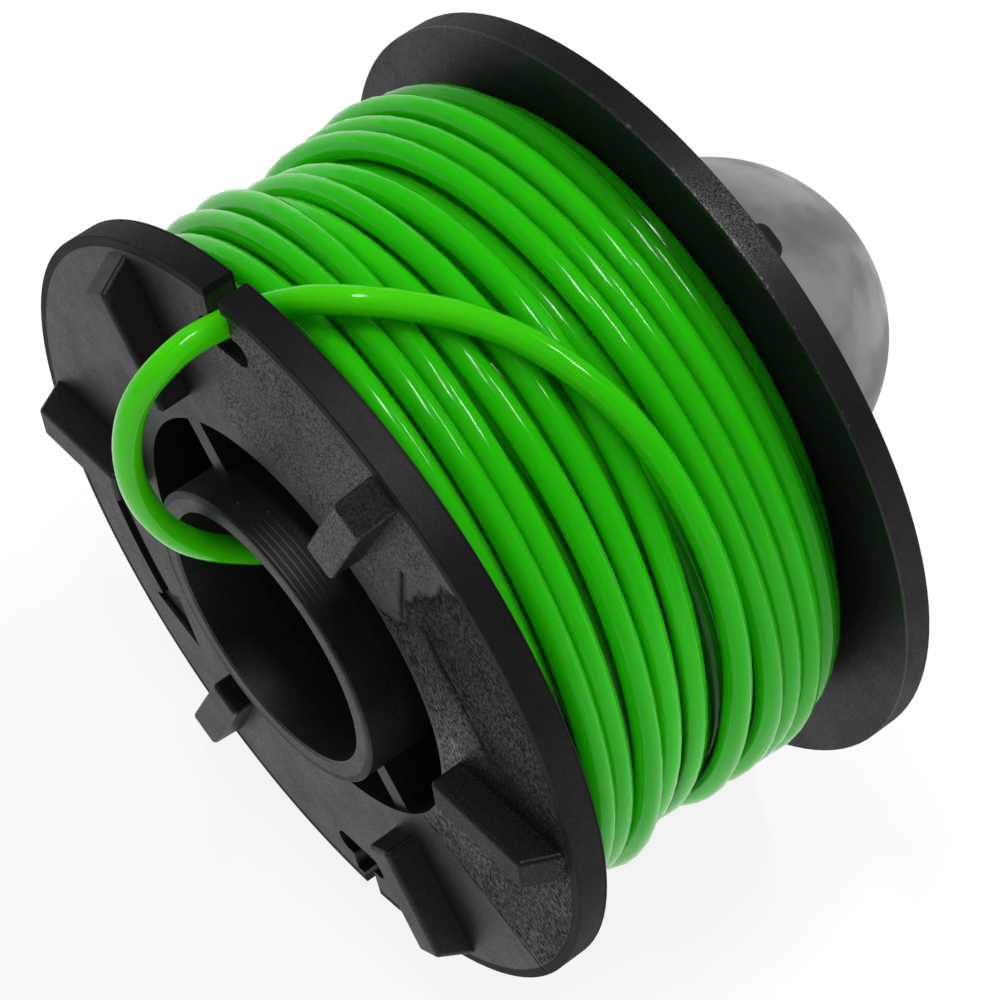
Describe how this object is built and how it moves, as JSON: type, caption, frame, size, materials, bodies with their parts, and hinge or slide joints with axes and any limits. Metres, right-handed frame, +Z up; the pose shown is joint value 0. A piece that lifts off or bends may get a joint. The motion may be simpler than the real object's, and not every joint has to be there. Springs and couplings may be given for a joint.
{
  "type": "trimmer line spool",
  "caption": "Moulded string trimmer spool with stop lugs and a spindle tube, wound with round cutting line whose free end leaves by a slit in a flange, and a domed tap knob at one end.",
  "frame": {"origin": "on the spindle bore's axis, level with the rim of the flange at the bore's open mouth", "axes": "-Y out of the spindle bore's open mouth, +Y towards the tap knob, +Z up, with the line's slit near the top"},
  "size_m": [0.06, 0.0584, 0.06],
  "materials": {
    "spool": "moulded, fine grain",
    "knob": "satin",
    "line": "smooth, slightly translucent"
  },
  "bodies": {
    "root": {"spool_body": "spool", "bump_knob": "knob", "line_winding": "line", "line_tail": "line"}
  },
  "joints": []
}
